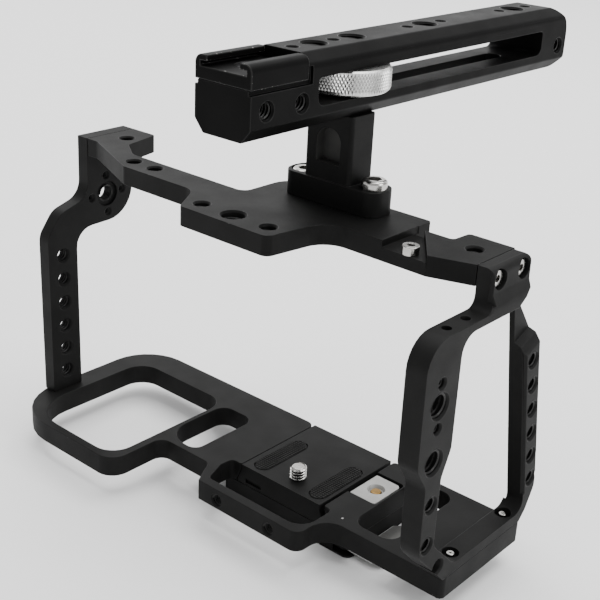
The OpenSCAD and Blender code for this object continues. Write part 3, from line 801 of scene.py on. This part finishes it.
for raised in (False, True):
    bpy.ops.object.mode_set(mode="EDIT")
    bpy.ops.mesh.select_all(action="DESELECT")
    bpy.ops.mesh.select_mode(type="VERT")
    bpy.ops.object.mode_set(mode="OBJECT")
    for corner in wheel.data.vertices:
        step = knurl_step(corner)
        corner.select = step is not None and (step[0] % 2 == 0) == raised and (not raised or 0 < step[1] < rows)
    bpy.ops.object.mode_set(mode="EDIT")
    if raised:
        bpy.ops.transform.resize(value=(wheel_r / valley_r, wheel_r / valley_r, 1),
                                 center_override=(wheel_axis.x, wheel_axis.y, 0))
    else:
        bpy.ops.mesh.vert_connect()
bpy.ops.mesh.select_all(action="SELECT")
bpy.ops.mesh.normals_make_consistent(inside=False)
bpy.ops.object.mode_set(mode="OBJECT")
knurled_steel = blasted("knurled_stainless", (0.5, 0.5, 0.49), (0.62, 0.62, 0.61), 0.26, metal=0.9,
                        grain=0.0003, cloud=0.004, depth=0.000005)
wheel.data.materials.append(knurled_steel)
fixed_to(wheel, "wheel", "thumbwheel")


# ---------------------------------------------------------------- handle
# A milled bar with a long window for the wheel and rows of threads on top and at its ends. Its edges are
# rounder than those of the plates, because hands hold it.

handle_finish = blasted("handle_anodised", (0.0016, 0.0016, 0.0016), (0.003, 0.003, 0.0029), 0.46, gloss=0.5,
                        ior=1.13)
handle_edge = blasted("handle_anodised_edge", (0.003, 0.003, 0.0029), (0.007, 0.007, 0.0068), 0.34, gloss=0.72,
                      chips=(0.0007, 0.04, (0.2, 0.2, 0.19)))
milled("handle_body", "handle", 0.2 * MM, face=handle_finish, edge=handle_edge)
handle_top, handle_x, handle_half = 168.5, -73.5, 11.5
side_z, side_threads = 154.1, (-24.6, -8.9, 144.3)
top_hole_depth, side_hole_depth = 7.6, 8
threads(tapped_holes(THREE_EIGHTH, top_hole_depth,
                     [at(handle_x, y, handle_top) for y in (8.6, 27.5, 67.8, 125.5)], (0, 0, 1))
        + tapped_holes(FINE, top_hole_depth,
                       [at(handle_x, y, handle_top) for y in (-1.5, 18, 57.8, 77.6, 116.3, 135)], (0, 0, 1))
        + tapped_holes(QUARTER, side_hole_depth,
                       [at(handle_x + handle_half, y, side_z) for y in side_threads], (1, 0, 0))
        + tapped_holes(QUARTER, side_hole_depth,
                       [at(handle_x - handle_half, y, side_z) for y in side_threads], (-1, 0, 0)),
        "handle_threads", "handle")


# ---------------------------------------------------------------- accessory shoe
# A separate shoe let into the front of the handle, held by one large countersunk screw. Its finish is chipped
# at the corners by the things that were slid into it.

shoe_edge = blasted("shoe_edge", (0.005, 0.005, 0.0048), (0.011, 0.011, 0.0105), 0.4, gloss=0.72,
                    chips=(0.0006, 0.12, (0.35, 0.35, 0.33)))
milled("cold_shoe", "handle", 0.35 * MM, face=handle_finish, edge=shoe_edge)
shoe_screw = cad_copy("cold_shoe_screw")
shoe_screw.data.materials.append(black_oxide)
break_edges(shoe_screw, 0.2 * MM)
fixed_to(shoe_screw, "handle", "cold_shoe_screw")


# ---------------------------------------------------------------- lock spring
# A small coil of drawn spring wire that stands in the block under the brass pin. It isn't fastened: the pin
# holds it down. The real spring shortens as the pin is pressed; this coil keeps one length.

spring_low, spring_high = (Vector(corner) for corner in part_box("lock_spring"))
wire_r, turns, pin_travel = 0.24 * MM, 7, 0.002
coil_pitch = (spring_high.z - spring_low.z - 2 * wire_r) / turns
deselect_all()
bpy.ops.mesh.primitive_circle_add(vertices=10, radius=wire_r, rotation=(math.pi / 2, 0, 0),
                                  location=((spring_high.x - spring_low.x) / 2 - wire_r, 0, wire_r))
spring = settle(bpy.context.object)
spring.name = "spring_coil"
coil = spring.modifiers.new("coil", "SCREW")
coil.axis = "Z"
coil.screw_offset = coil_pitch
coil.iterations = turns
coil.steps = coil.render_steps = 20
bpy.ops.object.modifier_apply(modifier=coil.name)
bpy.ops.object.mode_set(mode="EDIT")
bpy.ops.mesh.select_mode(type="EDGE")
bpy.ops.mesh.select_all(action="DESELECT")
bpy.ops.mesh.select_non_manifold()
bpy.ops.mesh.fill_holes(sides=0)
bpy.ops.mesh.select_all(action="SELECT")
bpy.ops.mesh.normals_make_consistent(inside=False)
bpy.ops.object.mode_set(mode="OBJECT")
spring.location = ((spring_low.x + spring_high.x) / 2, (spring_low.y + spring_high.y) / 2, spring_low.z)
settle(spring)
spring_steel = blasted("drawn_spring_wire", (0.2, 0.2, 0.195), (0.32, 0.32, 0.31), 0.3, metal=1.0, cloud=0.002)
spring.data.materials.append(spring_steel)
fixed_to(spring, "block", "lock_spring")
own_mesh(spring)
